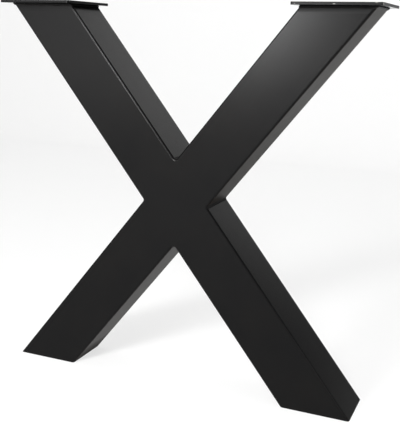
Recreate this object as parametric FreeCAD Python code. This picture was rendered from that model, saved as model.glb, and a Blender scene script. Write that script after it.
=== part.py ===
import FreeCAD, Part
import math
import os
from FreeCAD import Vector

# X-shaped table leg: a welded frame of square steel tube, with a mounting plate on each
# upper end and a cap that closes each foot.
# Millimetres, +Z up, X across the leg, Y through its depth, origin on the floor below
# the crossing.

# Whole leg
overall_height = 720.0  # floor to the top of the mounting plates
overall_width = 720.0  # over the outer ends of the two mounting plates

# Square tube
tube_side = 100.0  # outside width of the section
tube_wall = 2.0
tube_corner = 4.0  # outside corner radius of the section

# Mounting plates
plate_thickness = 5.0
plate_outer_overhang = 12.3  # beyond the tube at the end away from the crossing
plate_inner_overhang = 10.0  # beyond the tube at the end towards the crossing
plate_side_overhang = 25.0  # beyond the tube in front and behind
plate_corner = 3.0  # radius of the four upright corners
plate_edge_break = 0.5  # rounding of the upper and lower rims
hole_diameter = 9.0
hole_from_end = 15.0  # hole centre to the plate's ends along X
hole_from_side = 12.5  # hole centre to the plate's front and rear rims

# Foot caps
cap_thickness = 4.0

# Welds
corner_weld_radius = 5.0  # hollow face of the weld in the four inner corners of the X
plate_weld_leg = 4.0  # height and reach of the bead under each plate

# Lean of the tubes. Each one reaches from corner to corner of the upright rectangle that
# they fill, so it leans more steeply than the rectangle's diagonal, by what its width takes.
tube_height = overall_height - plate_thickness
tubes_width = overall_width - 2 * plate_outer_overhang
diagonal = math.hypot(tubes_width, tube_height)
lean = math.atan2(tube_height, tubes_width) + math.asin(tube_side / diagonal)  # above the floor
tilt = 90 - math.degrees(lean)  # tube axis away from upright, in degrees

# Worked out from the sizes above
half_cut = tube_side / math.sin(lean) / 2  # half the tube's X length in a level cut
bore_side = tube_side - 2 * tube_wall
bore_corner = max(tube_corner - tube_wall, 0)
crossing = Vector(0, 0, tube_height / 2)
stock_length = tube_height / math.sin(lean) + 4 * half_cut  # runs past both level cuts
plate_length = 2 * half_cut + plate_outer_overhang + plate_inner_overhang
plate_depth = tube_side + 2 * plate_side_overhang
plate_centre = overall_width / 2 - plate_length / 2
hole_offset_x = plate_length / 2 - hole_from_end
hole_offset_y = plate_depth / 2 - hole_from_side

up = Vector(0, 0, 1)
across_depth = Vector(0, 1, 0)
left, right = -1, 1
falling, rising = -1, 1  # a tube that falls or rises towards +X
slack = 1e-6  # for comparing places and directions


def runs_along(edge, direction):
    chord = edge.lastVertex().Point - edge.firstVertex().Point
    return chord.Length > slack and chord.normalize().cross(direction).Length < slack


def level_slab(low, high):
    """All that lies between two heights."""
    size = 2 * stock_length
    return Part.makeBox(size, size, high - low, Vector(-size / 2, -size / 2, low))


def square_stock(side, corner, slope):
    """Solid square bar along one diagonal of the X, longer than the leg needs."""
    bar = Part.makeBox(side, side, stock_length, Vector(-side / 2, -side / 2, -stock_length / 2))
    if corner > 0:
        bar = bar.makeFillet(corner, [edge for edge in bar.Edges if runs_along(edge, up)])
    bar.rotate(Vector(), across_depth, slope * tilt)
    bar.translate(crossing)
    return bar


def tube_stock(slope):
    """Square tube along one diagonal, cut level at the floor and under the plates."""
    outside = square_stock(tube_side, tube_corner, slope)
    bore = square_stock(bore_side, bore_corner, slope)
    return outside.cut(bore).common(level_slab(0, tube_height))


def lower_and_upper(shape):
    """The two solids that a cut leaves, the lower one first."""
    lower, upper = sorted(shape.Solids, key=lambda solid: solid.CenterOfMass.z)
    return lower, upper


def branch_tubes():
    """Two half-length tubes, cut to lie flat on the sides of the through tube."""
    return lower_and_upper(tube_stock(rising).cut(square_stock(tube_side, 0, falling)))


def foot_cap(slope):
    """Plate that fills the bore at the floor, with edges bevelled to the tube's lean."""
    bore = square_stock(bore_side, bore_corner, slope)
    return bore.common(level_slab(0, cap_thickness))


def crossing_outline():
    """Corners of the X near its crossing, seen from the front, with arms cut level."""
    inner_rise = half_cut * math.tan(lean)
    arm_rise = 2 * inner_rise
    arm_near = arm_rise / math.tan(lean) - half_cut
    arm_far = arm_rise / math.tan(lean) + half_cut
    quarter = [(half_cut, 0), (arm_far, arm_rise), (arm_near, arm_rise), (0, inner_rise)]
    upper_right = quarter
    upper_left = [(-x, z) for x, z in reversed(quarter[:-1])]
    lower_left = [(-x, -z) for x, z in quarter[1:]]
    lower_right = [(x, -z) for x, z in reversed(quarter[1:-1])]
    corners = upper_right + upper_left + lower_left + lower_right
    return [crossing + Vector(x, -tube_side / 2, z) for x, z in corners], arm_rise


def crossing_envelope():
    """Outside of the finished crossing, welds included, as one solid."""
    corners, arm_rise = crossing_outline()
    face = Part.Face(Part.makePolygon(corners + corners[:1]))
    block = face.extrude(across_depth * tube_side)
    below_ends = arm_rise - slack

    def inside_ends(edge):
        return all(abs(v.Z - crossing.z) < below_ends for v in edge.Vertexes)

    inner = [e for e in block.Edges if runs_along(e, across_depth) and inside_ends(e)]
    block = block.makeFillet(corner_weld_radius, inner)

    def on_rim(edge):
        centre = edge.CenterOfMass
        flat = abs(abs(centre.y) - tube_side / 2) < slack
        return flat and abs(centre.z - crossing.z) < below_ends

    return block.makeFillet(tube_corner, [edge for edge in block.Edges if on_rim(edge)])


def joint_welds():
    """Weld round the end of each branch tube: flush in front and behind, hollow between."""
    through_bar = square_stock(tube_side, tube_corner, falling)
    branch_bar = square_stock(tube_side, tube_corner, rising)
    branch_ends = branch_bar.cut(square_stock(tube_side, 0, falling))
    return lower_and_upper(crossing_envelope().cut(through_bar).cut(branch_ends))


def plate_weld(slope):
    """Fillet bead round the top of a tube, against the underside of its plate."""
    tube_bar = square_stock(tube_side, tube_corner, slope)
    reach_bar = square_stock(tube_side + 2 * plate_weld_leg, tube_corner + plate_weld_leg, slope)
    lower_rim = tube_bar.slice(up, tube_height - plate_weld_leg)[0]
    upper_rim = reach_bar.slice(up, tube_height)[0]
    flare = Part.makeLoft([lower_rim, upper_rim], True, True)
    return flare.cut(tube_bar)


def mounting_plate(side):
    """Flat plate on a tube's upper end, with a screw hole near each corner."""
    corner = Vector(-plate_length / 2, -plate_depth / 2, tube_height)
    plate = Part.makeBox(plate_length, plate_depth, plate_thickness, corner)
    plate = plate.makeFillet(plate_corner, [e for e in plate.Edges if runs_along(e, up)])
    rims = [edge for edge in plate.Edges if not runs_along(edge, up)]
    plate = plate.makeFillet(plate_edge_break, rims)
    for x in (-hole_offset_x, hole_offset_x):
        for y in (-hole_offset_y, hole_offset_y):
            foot = Vector(x, y, tube_height)
            plate = plate.cut(Part.makeCylinder(hole_diameter / 2, plate_thickness, foot, up))
    plate.translate(Vector(side * plate_centre, 0, 0))
    return plate


def build():
    lower_branch, upper_branch = branch_tubes()
    lower_weld, upper_weld = joint_welds()
    return {
        "through_tube": tube_stock(falling),
        "upper_branch_tube": upper_branch,
        "lower_branch_tube": lower_branch,
        "left_mounting_plate": mounting_plate(left),
        "right_mounting_plate": mounting_plate(right),
        "left_foot_cap": foot_cap(rising),
        "right_foot_cap": foot_cap(falling),
        "upper_joint_weld": upper_weld,
        "lower_joint_weld": lower_weld,
        "left_plate_weld": plate_weld(falling),
        "right_plate_weld": plate_weld(rising),
    }


os.makedirs("parts", exist_ok=True)
for name, shape in build().items():
    for solid in shape.Solids:
        print(name, "volume %.1f mm3" % solid.Volume, "closed" if solid.isClosed() else "open")
    shape.exportStep("parts/%s.step" % name)
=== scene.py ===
import math

import bpy
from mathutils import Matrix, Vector, noise


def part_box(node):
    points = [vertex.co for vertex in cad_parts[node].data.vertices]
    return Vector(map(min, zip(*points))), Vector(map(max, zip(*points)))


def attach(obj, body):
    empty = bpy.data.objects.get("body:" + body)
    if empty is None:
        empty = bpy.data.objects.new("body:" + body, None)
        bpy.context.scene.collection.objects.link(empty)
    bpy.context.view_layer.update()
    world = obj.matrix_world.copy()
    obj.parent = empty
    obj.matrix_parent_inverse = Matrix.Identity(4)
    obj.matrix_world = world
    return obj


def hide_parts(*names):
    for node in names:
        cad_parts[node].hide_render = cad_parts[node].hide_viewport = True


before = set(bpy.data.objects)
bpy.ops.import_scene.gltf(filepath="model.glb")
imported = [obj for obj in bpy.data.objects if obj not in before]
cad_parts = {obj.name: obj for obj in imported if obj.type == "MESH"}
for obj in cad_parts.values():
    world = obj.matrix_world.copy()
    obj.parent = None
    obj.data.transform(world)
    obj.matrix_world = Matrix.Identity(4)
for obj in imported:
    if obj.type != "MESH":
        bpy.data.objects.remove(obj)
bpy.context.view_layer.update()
print("frame loaded:", len(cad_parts), "nodes")

mm = 0.001
near = mm / 10  # for places that count as the same
straight = mm / 100  # how far an edge along an axis may stray from it
xAxis, yAxis = 0, 1
falling, rising = -1, 1  # a tube that falls or rises towards +X


# Shader helpers

def newMaterial(name):
    material = bpy.data.materials.new(name)
    material.use_nodes = True
    tree = material.node_tree
    return material, tree, tree.nodes["Principled BSDF"]


def addNode(tree, kind, **settings):
    node = tree.nodes.new(kind)
    for key, value in settings.items():
        setattr(node, key, value)
    return node


def addNoise(tree, coords, size, detail=2.0, roughness=0.5):
    texture = addNode(tree, "ShaderNodeTexNoise")
    texture.inputs["Scale"].default_value = 1 / size
    texture.inputs["Detail"].default_value = detail
    texture.inputs["Roughness"].default_value = roughness
    tree.links.new(coords, texture.inputs["Vector"])
    return texture.outputs["Fac"]


# starts from where most of a noise lies, if nothing else is given
def addRange(tree, value, low, high, fromLow=0.3, fromHigh=0.7):
    ranged = addNode(tree, "ShaderNodeMapRange")
    ranged.inputs["From Min"].default_value = fromLow
    ranged.inputs["From Max"].default_value = fromHigh
    ranged.inputs["To Min"].default_value = low
    ranged.inputs["To Max"].default_value = high
    tree.links.new(value, ranged.inputs["Value"])
    return ranged.outputs["Result"]


def addAxis(tree, vector, axis):
    split = addNode(tree, "ShaderNodeSeparateXYZ")
    tree.links.new(vector, split.inputs["Vector"])
    return split.outputs[axis]


def addAbsolute(tree, value):
    absolute = addNode(tree, "ShaderNodeMath", operation="ABSOLUTE")
    tree.links.new(value, absolute.inputs[0])
    return absolute.outputs["Value"]


def multiply(tree, first, second):
    product = addNode(tree, "ShaderNodeMath", operation="MULTIPLY")
    tree.links.new(first, product.inputs[0])
    tree.links.new(second, product.inputs[1])
    return product.outputs["Value"]


def addBump(tree, height, depth, under=None):
    bump = addNode(tree, "ShaderNodeBump")
    bump.inputs["Strength"].default_value = 1.0
    bump.inputs["Distance"].default_value = depth
    tree.links.new(height, bump.inputs["Height"])
    if under:
        tree.links.new(under, bump.inputs["Normal"])
    return bump.outputs["Normal"]


def mixColours(tree, factor, first, second):
    mix = addNode(tree, "ShaderNodeMix", data_type="RGBA")
    mix.inputs["A"].default_value = (*first, 1)
    mix.inputs["B"].default_value = (*second, 1)
    tree.links.new(factor, mix.inputs["Factor"])
    return mix.outputs["Result"]


# Modelling helpers: edges and faces are selected in code, by place

def selectEdges(piece, test):
    bpy.ops.object.mode_set(mode="EDIT")
    bpy.ops.mesh.select_mode(type="EDGE")
    bpy.ops.mesh.select_all(action="DESELECT")
    bpy.ops.object.mode_set(mode="OBJECT")
    places = piece.data.vertices
    for edge in piece.data.edges:
        edge.select = test(*[places[i].co for i in edge.vertices])
    bpy.ops.object.mode_set(mode="EDIT")


def selectFaces(piece, test):
    bpy.ops.object.mode_set(mode="EDIT")
    bpy.ops.mesh.select_mode(type="FACE")
    bpy.ops.mesh.select_all(action="DESELECT")
    bpy.ops.object.mode_set(mode="OBJECT")
    for face in piece.data.polygons:
        face.select = test(face)
    bpy.ops.object.mode_set(mode="EDIT")


def startPlane(name, size, at):
    bpy.ops.object.select_all(action="DESELECT")
    bpy.ops.mesh.primitive_plane_add(size=1, location=at)
    piece = bpy.context.object
    piece.name = name
    piece.scale = (*size, 1)
    bpy.ops.object.transform_apply(location=True, rotation=True, scale=True)
    return piece


# Satin black powder coat: cloudy near-black, fine orange peel, even sheen
powderCoat = {
    "colour": (0.0030, 0.0030, 0.0032),
    "thinColour": (0.0042, 0.0040, 0.0039),
    "cloudSize": 90 * mm,
    "sheen": (0.24, 0.27),  # roughness where the coat lies smooth, and where it is dusty
    "dustSize": 14 * mm,
    "peelSize": 2.4 * mm,
    "peelDepth": 0.010 * mm,
    "grainSize": 0.6 * mm,
    "grainDepth": 0.003 * mm,
    "specular": 0.085,
}


def startCoat(name, spec):
    material, tree, shader = newMaterial(name)
    coords = addNode(tree, "ShaderNodeTexCoord").outputs["Object"]
    clouds = addRange(tree, addNoise(tree, coords, spec["cloudSize"], detail=4), 0, 1)
    colour = mixColours(tree, clouds, spec["colour"], spec["thinColour"])
    dust = addNoise(tree, coords, spec["dustSize"], detail=5, roughness=0.6)
    peel = addBump(tree, addNoise(tree, coords, spec["peelSize"]), spec["peelDepth"])
    grain = addBump(tree, addNoise(tree, coords, spec["grainSize"], detail=1), spec["grainDepth"], peel)
    shader.inputs["Specular IOR Level"].default_value = spec["specular"]
    tree.links.new(colour, shader.inputs["Base Color"])
    tree.links.new(addRange(tree, dust, *spec["sheen"]), shader.inputs["Roughness"])
    tree.links.new(grain, shader.inputs["Normal"])
    return material, tree, shader, coords


def addRoughness(tree, shader, extra):
    before = shader.inputs["Roughness"].links[0].from_socket
    total = addNode(tree, "ShaderNodeMath", operation="ADD")
    tree.links.new(before, total.inputs[0])
    tree.links.new(extra, total.inputs[1])
    tree.links.new(total.outputs["Value"], shader.inputs["Roughness"])


def layOver(tree, shader, mask, colour):
    before = shader.inputs["Base Color"].links[0].from_socket
    mix = addNode(tree, "ShaderNodeMix", data_type="RGBA")
    mix.inputs["B"].default_value = (*colour, 1)
    tree.links.new(mask, mix.inputs["Factor"])
    tree.links.new(before, mix.inputs["A"])
    tree.links.new(mix.outputs["Result"], shader.inputs["Base Color"])


# Tubes: the coat lies thin and dry where less powder reaches, under the plates and on undersides; the
# undersides also carry a painted reflection, lighter and warmer
tubeCoat = {
    **powderCoat,
    "dryFrom": 702 * mm,  # heights, here and below
    "dryTo": 711 * mm,
    "dryness": 0.28,  # added to the roughness
    "underFacing": (-0.6, -0.45),  # Z of the normal on an underside, and where it ends
    "underDryness": 0.17,
    "paintedUnderReflection": (0.0085, 0.0060, 0.0040),  # painted reflection of the lit floor: undersides lighter and warmer
    "crossDryness": 0.10,  # more of it, on the arms' undersides towards the crossing
    "crossFrom": 560 * mm,
    "crossTo": 420 * mm,
    "armFoot": 350 * mm,
    "legTop": 280 * mm,
    "footDryness": 0.30,  # and on the legs' undersides just above the floor
    "footFrom": 42 * mm,
    "footTo": 4 * mm,
}


def makeTubeCoat(name, spec):
    material, tree, shader, coords = startCoat(name, spec)
    height = addAxis(tree, coords, "Z")
    facing = addNode(tree, "ShaderNodeNewGeometry").outputs["Normal"]
    inCorner = addRange(tree, height, 0, spec["dryness"], spec["dryFrom"], spec["dryTo"])
    addRoughness(tree, shader, multiply(tree, inCorner, addAbsolute(tree, addAxis(tree, facing, "Y"))))
    below = addRange(tree, addAxis(tree, facing, "Z"), 1, 0, *spec["underFacing"])
    # painted reflection: every down-facing face gets a lighter, warmer colour, as if the floor lit it
    layOver(tree, shader, below, spec["paintedUnderReflection"])
    atCross = addRange(tree, height, spec["crossDryness"], 0, spec["crossTo"], spec["crossFrom"])
    onArm = addRange(tree, height, 0, 1, spec["legTop"], spec["armFoot"])
    addRoughness(tree, shader, multiply(tree, below, multiply(tree, onArm, atCross)))
    driest = spec["underDryness"] + spec["footDryness"]
    atFoot = addRange(tree, height, driest, spec["underDryness"], spec["footTo"], spec["footFrom"])
    addRoughness(tree, shader, multiply(tree, below, atFoot))
    return material


# Plates: rolled sheet, smoothest below, and rims that keep the upright lines of the cut
plateCoat = {
    **powderCoat,
    "sheen": (0.33, 0.38),
    "underFacing": (-0.9, -0.7),  # Z of the normal, from wholly to not at all
    "underSmoothness": 0.26,  # taken off the roughness
    "topFacing": (0.7, 0.9),  # from not at all to wholly
    "topDryness": 0.16,
    "rimFacing": (0.2, 0.7),  # up or down, from wholly to not at all
    "cutSize": 1.1 * mm,
    "cutStretch": 0.12,  # of the lines' pattern along Z
    "cutDepth": 0.05 * mm,
    # chips in the coat on the right plate's front rim, and a painted highlight on its front right corner,
    # all in one pale colour
    "chipAndGlintColour": (0.14, 0.137, 0.13),
    "patchEdge": 0.9 * mm,  # how ragged
    "patchFade": (0.75, 1.05),  # of the half size
    # places and half sizes, in mm
    "chipsAndCornerGlint": (
        ((282, -75, 716.8), (2.6, 1.5, 0.8)),
        ((217.5, -75, 716.9), (1.3, 1.2, 0.6)),
        # not a chip: a painted highlight on the rounded front right corner
        ((359.4, -73.4, 717.6), (1.6, 1.8, 2.8)),
        ((349, -75, 719.3), (2.2, 1.2, 0.9)),
    ),
}


# lays the chips and the painted corner highlight over the coat's colour
def addChipsAndGlint(tree, shader, coords, spec):
    ragged = addNode(tree, "ShaderNodeVectorMath", operation="MULTIPLY_ADD")
    wander = addNode(tree, "ShaderNodeTexNoise")
    wander.inputs["Scale"].default_value = 1 / spec["patchEdge"]
    tree.links.new(coords, wander.inputs["Vector"])
    tree.links.new(wander.outputs["Color"], ragged.inputs[0])
    ragged.inputs[1].default_value = (spec["patchEdge"],) * 3
    tree.links.new(coords, ragged.inputs[2])
    for place, halfSize in spec["chipsAndCornerGlint"]:
        patch = addNode(tree, "ShaderNodeMapping", vector_type="TEXTURE")
        middle = [value * mm + spec["patchEdge"] / 2 for value in place]
        patch.inputs["Location"].default_value = middle
        patch.inputs["Scale"].default_value = [value * mm for value in halfSize]
        tree.links.new(ragged.outputs["Vector"], patch.inputs["Vector"])
        reach = addNode(tree, "ShaderNodeVectorMath", operation="LENGTH")
        tree.links.new(patch.outputs["Vector"], reach.inputs[0])
        inside = addRange(tree, reach.outputs["Value"], 1, 0, *spec["patchFade"])
        layOver(tree, shader, inside, spec["chipAndGlintColour"])


def makePlateCoat(name, spec):
    material, tree, shader, coords = startCoat(name, spec)
    facing = addNode(tree, "ShaderNodeNewGeometry").outputs["Normal"]
    upward = addAxis(tree, facing, "Z")
    addRoughness(tree, shader, addRange(tree, upward, -spec["underSmoothness"], 0, *spec["underFacing"]))
    addRoughness(tree, shader, addRange(tree, upward, 0, spec["topDryness"], *spec["topFacing"]))
    onRim = addRange(tree, addAbsolute(tree, upward), 1, 0, *spec["rimFacing"])
    lines = addNode(tree, "ShaderNodeMapping")
    lines.inputs["Scale"].default_value = (1, 1, spec["cutStretch"])
    tree.links.new(coords, lines.inputs["Vector"])
    cut = multiply(tree, addNoise(tree, lines.outputs["Vector"], spec["cutSize"], detail=3), onRim)
    before = shader.inputs["Normal"].links[0].from_socket
    tree.links.new(addBump(tree, cut, spec["cutDepth"], before), shader.inputs["Normal"])
    addChipsAndGlint(tree, shader, coords, spec)
    return material


# Welds in the inner corners of the X: ripples across the tube's depth, softened by the coat
jointCoat = {
    **powderCoat,
    "hollowFacing": (0.3, 0.8),  # Y of the normal, from wholly to not at all
    "innerDryness": 0.38,  # in the hollow between the tubes
    "rippleSize": 3.2 * mm,
    "bandSize": math.tau / 20,  # of the wave texture at scale 1
    "wander": 1.5,
    "rippleDepth": 0.06 * mm,
}


def makeJointCoat(name, spec):
    material, tree, shader, coords = startCoat(name, spec)
    facing = addNode(tree, "ShaderNodeNewGeometry").outputs["Normal"]
    inHollow = addRange(tree, addAbsolute(tree, addAxis(tree, facing, "Y")), 1, 0, *spec["hollowFacing"])
    addRoughness(tree, shader, addRange(tree, inHollow, 0, spec["innerDryness"], 0, 1))
    ripples = addNode(tree, "ShaderNodeTexWave", wave_type="BANDS", bands_direction="Y")
    ripples.inputs["Scale"].default_value = spec["bandSize"] / spec["rippleSize"]
    ripples.inputs["Distortion"].default_value = spec["wander"]
    ripples.inputs["Detail"].default_value = 1.0
    tree.links.new(coords, ripples.inputs["Vector"])
    before = shader.inputs["Normal"].links[0].from_socket
    raised = addBump(tree, multiply(tree, ripples.outputs["Fac"], inHollow), spec["rippleDepth"], before)
    tree.links.new(raised, shader.inputs["Normal"])
    return material


# Plate welds: a dull, thick coat over the ripples
beadCoat = {
    **powderCoat,
    "colour": (0.0030, 0.0030, 0.0031),
    "thinColour": (0.0040, 0.0039, 0.0038),
    "sheen": (0.66, 0.78),
    "specular": 0.03,
}

tubeMaterial = makeTubeCoat("tubeCoat", tubeCoat)
plateMaterial = makePlateCoat("plateCoat", plateCoat)
jointMaterial = makeJointCoat("jointWeldCoat", jointCoat)
beadMaterial = startCoat("plateWeldCoat", beadCoat)[0]
for name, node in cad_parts.items():
    node.data.materials.clear()
    if name.endswith("mounting_plate"):
        node.data.materials.append(plateMaterial)
    elif name.endswith("joint_weld"):
        node.data.materials.append(jointMaterial)
    elif name.endswith("plate_weld"):
        node.data.materials.append(beadMaterial)
    else:
        node.data.materials.append(tubeMaterial)
print("powder coat on", len(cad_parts), "nodes")


# Weld beads under the plates, with the ripples of a hand-laid bead
plateBead = {
    "corner": 4 * mm,  # of the tube
    "cornerSteps": 6,
    "rows": 7,  # between the lower and the upper rim
    "ripplePitch": 2.6 * mm,
    "stepsPerRipple": 5,
    "bow": 0.9,  # how far a ripple bends back in the middle of the bead, in ripples
    "belly": 0.85 * mm,
    "rippleHeight": 0.22 * mm,
    "evenShare": 0.6,  # of the ripples' height
    "unevenShare": 0.8,
    "unevenSize": 7 * mm,
    "wander": 0.5,  # of the pitch, in ripples
    "wanderSize": 16 * mm,
    "rimSwell": 0.01,  # a lower swell counts as the rim
    "toe": 2.4 * mm,  # height of the smooth lower edge, but not on the upper sides of the tubes
    "toeFront": 0.5,  # least Y of the normal in front and behind
    "toeUnder": -0.3,  # most Z of the normal on an underside
    "endReach": 0.15,  # of the reach in front and behind
}


def layBeadRing(name, low, high, slope, spec):
    leg = high.z - low.z
    halfDepth = high.y - leg  # of the tube
    sinLean = 2 * high.y / (high.x - low.x)
    drift = slope * leg * math.sqrt(1 - sinLean ** 2) / sinLean  # the tube's lean within the bead
    topX = (low.x + high.x) / 2
    tubeOutline = (2 * halfDepth / sinLean, 2 * halfDepth)
    bead = startPlane(name, tubeOutline, (topX - drift, 0, low.z))
    bpy.ops.object.mode_set(mode="EDIT")
    bpy.ops.mesh.select_all(action="SELECT")
    bpy.ops.mesh.bevel(offset=spec["corner"], segments=spec["cornerSteps"], affect="VERTICES")

    # up the tube to the plate, then out along the plate
    bpy.ops.mesh.select_all(action="SELECT")
    bpy.ops.mesh.extrude_region_move(TRANSFORM_OT_translate={"value": (drift, 0, leg)})
    bpy.ops.mesh.extrude_region_move()
    reach = high.y / halfDepth
    endReach = 1 + (reach - 1) * spec["endReach"]
    bpy.ops.transform.resize(value=(endReach, reach, 1), center_override=(topX, 0, high.z))
    bpy.ops.mesh.delete(type="ONLY_FACE")
    selectFaces(bead, lambda face: face.center.z < low.z + near)
    bpy.ops.mesh.delete(type="ONLY_FACE")

    # and back down to the lower rim, in rows
    def onRim(place):
        cornerX = max(abs(place.x - topX) - tubeOutline[0] / 2 + spec["corner"], 0)
        cornerY = max(abs(place.y) - halfDepth + spec["corner"], 0)
        outside = math.hypot(cornerX, cornerY) > spec["corner"] + near
        return outside or place.z < low.z + near

    selectEdges(bead, lambda a, b: abs(a.z - b.z) < near and onRim(a) and onRim(b))
    bpy.ops.mesh.bridge_edge_loops(number_cuts=spec["rows"], interpolation="LINEAR")
    bpy.ops.mesh.select_all(action="SELECT")
    bpy.ops.mesh.normals_make_consistent(inside=False)
    return bead


def cutEdges(bead, axis, longerThan, cuts):
    across = yAxis if axis == xAxis else xAxis

    def runsAlong(a, b):
        return abs(a[across] - b[across]) < straight and abs(a[axis] - b[axis]) > longerThan

    selectEdges(bead, runsAlong)
    bpy.ops.mesh.subdivide(number_cuts=cuts)


def stepAlong(bead, axis, length, spec):
    ripples = round(length / spec["ripplePitch"])
    cutEdges(bead, axis, length / 2, ripples - 1)
    cutEdges(bead, axis, spec["ripplePitch"] / 2, spec["stepsPerRipple"] - 1)


def raiseRipples(bead, low, high, spec):
    ripples = bead.vertex_groups.new(name="ripples")
    full = spec["belly"] + spec["rippleHeight"]
    middle = (low + high) / 2
    for vertex in bead.data.vertices:
        rise = (vertex.co.z - low.z) / (high.z - low.z)
        swell = 1 - (2 * rise - 1) ** 2  # none at the two rims
        if swell < spec["rimSwell"]:
            continue
        offset = vertex.co - middle
        onLongSide = abs(offset.y) / (high.y - low.y) > abs(offset.x) / (high.x - low.x)
        along = offset.x if onLongSide else offset.y
        wander = spec["wander"] * noise.noise(vertex.co / spec["wanderSize"])
        turn = along / spec["ripplePitch"] + spec["bow"] * swell + wander
        crest = 0.5 + 0.5 * math.cos(math.tau * turn)
        uneven = spec["evenShare"] + spec["unevenShare"] * noise.noise(vertex.co / spec["unevenSize"])
        lift = spec["belly"] + spec["rippleHeight"] * uneven * crest
        ripples.add([vertex.index], swell * lift / full, "REPLACE")
    displace = bead.modifiers.new("ripples", "DISPLACE")
    displace.vertex_group = ripples.name
    displace.mid_level = 0
    displace.strength = full
    bpy.ops.object.modifier_apply(modifier=displace.name)
    bead.vertex_groups.clear()


def buildPlateBead(name, node, slope, spec):
    low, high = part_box(node)
    bead = layBeadRing(name, low, high, slope, spec)
    stepAlong(bead, xAxis, high.x - low.x, spec)
    stepAlong(bead, yAxis, high.y - low.y, spec)
    bpy.ops.object.mode_set(mode="OBJECT")
    raiseRipples(bead, low, high, spec)
    bpy.ops.object.shade_smooth()
    finishes = [beadMaterial, plateMaterial, tubeMaterial]
    for material in finishes:
        bead.data.materials.append(material)
    for face in bead.data.polygons:
        onToe = face.center.z < low.z + spec["toe"]
        if onToe and abs(face.normal.y) > spec["toeFront"]:
            face.material_index = finishes.index(plateMaterial)
        elif onToe and face.normal.z < spec["toeUnder"]:
            face.material_index = finishes.index(tubeMaterial)
    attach(bead, "root")
    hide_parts(node)
    print(name, len(bead.data.polygons), "faces")


buildPlateBead("leftPlateBead", "left_plate_weld", falling, plateBead)
buildPlateBead("rightPlateBead", "right_plate_weld", rising, plateBead)


# Pale paper floor, and a paper backdrop that rises from it behind the leg
palePaper = {
    "colour": (0.93, 0.93, 0.925),
    "mottle": (0.915, 0.915, 0.91),
    "mottleSize": 0.35,
    "roughness": 0.9,
    "specular": 0.1,
    "glow": 0.7,  # share of even white that the camera and reflections see; the rest keeps the shadow
}
studioFloor = {"size": (24, 24), "at": (0, 0, 0)}
backdrop = {
    "left": -3.8,
    "right": 1.3,
    "front": 2.6,
    "rear": 3.4,
    "lift": 1 * mm,
    "height": 3.0,
    "bend": 0.79,
    "bendSteps": 24,
}


def makePaper(name, spec):
    material, tree, shader = newMaterial(name)
    coords = addNode(tree, "ShaderNodeTexCoord").outputs["Object"]
    mottle = addRange(tree, addNoise(tree, coords, spec["mottleSize"], detail=3), 0, 1)
    tree.links.new(mixColours(tree, mottle, spec["colour"], spec["mottle"]), shader.inputs["Base Color"])
    shader.inputs["Roughness"].default_value = spec["roughness"]
    shader.inputs["Specular IOR Level"].default_value = spec["specular"]

    # even white for the rays that look at the paper, and plain paper for those that light the leg
    rays = addNode(tree, "ShaderNodeLightPath")
    seen = rays.outputs["Is Camera Ray"]
    for kind in ("Is Glossy Ray", "Is Transmission Ray"):
        either = addNode(tree, "ShaderNodeMath", operation="MAXIMUM")
        tree.links.new(seen, either.inputs[0])
        tree.links.new(rays.outputs[kind], either.inputs[1])
        seen = either.outputs["Value"]
    white = addNode(tree, "ShaderNodeEmission")
    paper = addNode(tree, "ShaderNodeMixShader")
    tree.links.new(addRange(tree, seen, 0, spec["glow"], 0, 1), paper.inputs["Fac"])
    tree.links.new(shader.outputs["BSDF"], paper.inputs[1])
    tree.links.new(white.outputs["Emission"], paper.inputs[2])
    tree.links.new(paper.outputs["Shader"], tree.nodes["Material Output"].inputs["Surface"])
    return material


def buildBackdrop(spec):
    width = spec["right"] - spec["left"]
    depth = spec["rear"] - spec["front"]
    middle = ((spec["left"] + spec["right"]) / 2, (spec["front"] + spec["rear"]) / 2, spec["lift"])
    sheet = startPlane("backdrop", (width, depth), middle)
    selectEdges(sheet, lambda a, b: min(a.y, b.y) > spec["rear"] - mm)
    bpy.ops.mesh.extrude_region_move(TRANSFORM_OT_translate={"value": (0, 0, spec["height"])})
    selectEdges(sheet, lambda a, b: min(a.y, b.y) > spec["rear"] - mm and max(a.z, b.z) < 2 * spec["lift"])
    bpy.ops.mesh.bevel(offset=spec["bend"], segments=spec["bendSteps"], affect="EDGES")
    bpy.ops.object.mode_set(mode="OBJECT")
    bpy.ops.object.shade_smooth()
    return sheet


paperMaterial = makePaper("palePaper", palePaper)
floor = startPlane("studioFloor", studioFloor["size"], studioFloor["at"])
for sheet in (floor, buildBackdrop(backdrop)):
    sheet.data.materials.append(paperMaterial)
print("floor and backdrop laid")


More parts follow.
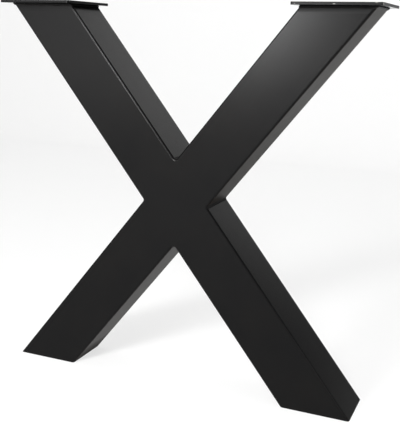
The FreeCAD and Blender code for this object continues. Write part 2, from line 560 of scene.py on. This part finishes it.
# Studio light: soft boxes in front, overhead and behind, in a dim grey room
softboxes = {
    "keyLow": {"at": (-0.74, -2.5, 0.78), "aim": (0.15, 0, 0.6), "size": (0.3, 0.3), "watts": 23},
    "keyHigh": {"at": (-0.75, -2.5, 1.08), "aim": (0.15, 0, 0.6), "size": (0.45, 0.3), "watts": 50},
    "frontFill": {"at": (0.3, -4.0, 2.9), "aim": (0, 0, 0.4), "size": (1.3, 1.1), "watts": 185},
    "leftFill": {"at": (-1.75, -2.45, 0.95), "aim": (-0.1, 0, 0.5), "size": (0.85, 1.4), "watts": 15.7},
    "rightFill": {"at": (2.3, -1.1, 1.0), "aim": (0.2, 0, 0.3), "size": (1.9, 0.6), "watts": 12},
    "overhead": {"at": (0.1, 0.4, 3.2), "aim": (0.1, 0.4, 0), "size": (2.8, 2.4), "watts": 31},
    "backdropWash": {"at": (-1.6, 1.9, 3.1), "aim": (-1.9, 3.2, 0.6), "size": (1.6, 0.5), "watts": 5},
    "rearRim": {"at": (0.4, 2.7, 2.25), "aim": (0, 0, 0.5), "size": (1.2, 1.6), "watts": 2.5},
}
roomGrey = 0.17


def addSoftbox(name, spec):
    at = Vector(spec["at"])
    towards = (Vector(spec["aim"]) - at).to_track_quat("-Z", "Y")
    bpy.ops.object.light_add(type="AREA", location=at, rotation=towards.to_euler())
    lamp = bpy.context.object
    lamp.name = name
    lamp.data.shape = "RECTANGLE"
    lamp.data.size, lamp.data.size_y = spec["size"]
    lamp.data.energy = spec["watts"]
    lamp.visible_camera = False


for name, spec in softboxes.items():
    addSoftbox(name, spec)
room = bpy.data.worlds.new("studioRoom")
room.use_nodes = True
room.node_tree.nodes["Background"].inputs["Color"].default_value = (roomGrey, roomGrey, roomGrey, 1)
bpy.context.scene.world = room
bpy.context.scene.view_settings.view_transform = "Standard"
print("lamps:", ", ".join(softboxes))


# Camera: front right, a little below the plates
photoCamera = {
    "at": (0.58563, -1.33117, 0.66522),
    "turn": (77.8905, -1.3453, 23.5972),  # degrees
    "lens": 70.298,
    "sensor": 36,
    "shift": (0.0221, -0.0244),
}


def addCamera(spec):
    turn = [math.radians(angle) for angle in spec["turn"]]
    bpy.ops.object.camera_add(location=spec["at"], rotation=turn)
    camera = bpy.context.object
    camera.name = "photoCamera"
    camera.data.sensor_fit = "HORIZONTAL"
    camera.data.sensor_width = spec["sensor"]
    camera.data.lens = spec["lens"]
    camera.data.shift_x, camera.data.shift_y = spec["shift"]
    bpy.context.scene.camera = camera


addCamera(photoCamera)
print("camera placed")
